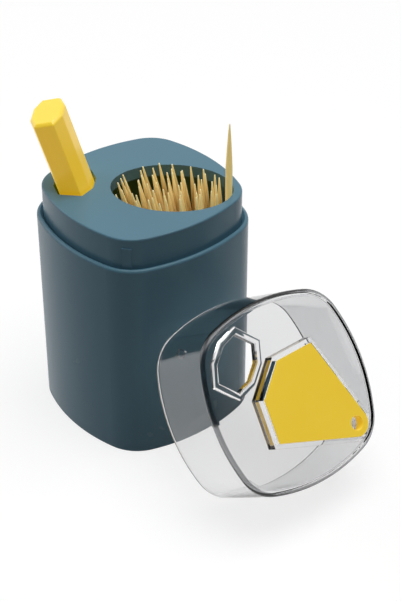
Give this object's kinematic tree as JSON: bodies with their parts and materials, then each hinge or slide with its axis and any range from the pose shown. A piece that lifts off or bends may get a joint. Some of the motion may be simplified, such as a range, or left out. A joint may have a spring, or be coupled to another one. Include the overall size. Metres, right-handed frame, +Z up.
{
  "type": "toothpick dispenser",
  "caption": "Square cup of toothpicks with a clear dispensing cover taken off and leaned against it, and a pocket case standing in its top plate.",
  "frame": {"origin": "middle of the cup's foot, on the surface it stands on", "axes": "+Z up, X and Y along the cup's sides, the cover leans on the cup's +X side, and the holes lie on the diagonal from -X-Y to +X+Y"},
  "size_m": [0.1053, 0.0578, 0.0986],
  "materials": {
    "teal_plastic": "satin",
    "clear_plastic": "polished, clear",
    "yellow_plastic": "satin",
    "pick_wood": "smooth, bare"
  },
  "bodies": {
    "dispenser": {"outer_cup": "teal_plastic", "top_plate": "teal_plastic", "toothpicks": "pick_wood"},
    "cover": {"cover": "clear_plastic", "exit_hopper": "yellow_plastic"},
    "case": {"case_body": "yellow_plastic", "case_toothpicks": "pick_wood"},
    "cap": {"case_cap": "yellow_plastic"},
    "pick": {"raised_toothpick": "pick_wood"}
  },
  "joints": [
    {"name": "cover_lift", "type": "slide", "parent": "dispenser", "child": "cover", "axis": [0, 0, 1], "range_m": [0, 0.12]},
    {"name": "case_draw", "type": "slide", "parent": "dispenser", "child": "case", "axis": [-0.074, -0.265, 0.9614], "range_m": [0, 0.07]},
    {"name": "cap_pull", "type": "slide", "parent": "case", "child": "cap", "axis": [-0.074, -0.265, 0.9614], "range_m": [0, 0.035]},
    {"name": "pick_draw", "type": "slide", "parent": "dispenser", "child": "pick", "axis": [0, 0, 1], "range_m": [0, 0.045]}
  ]
}
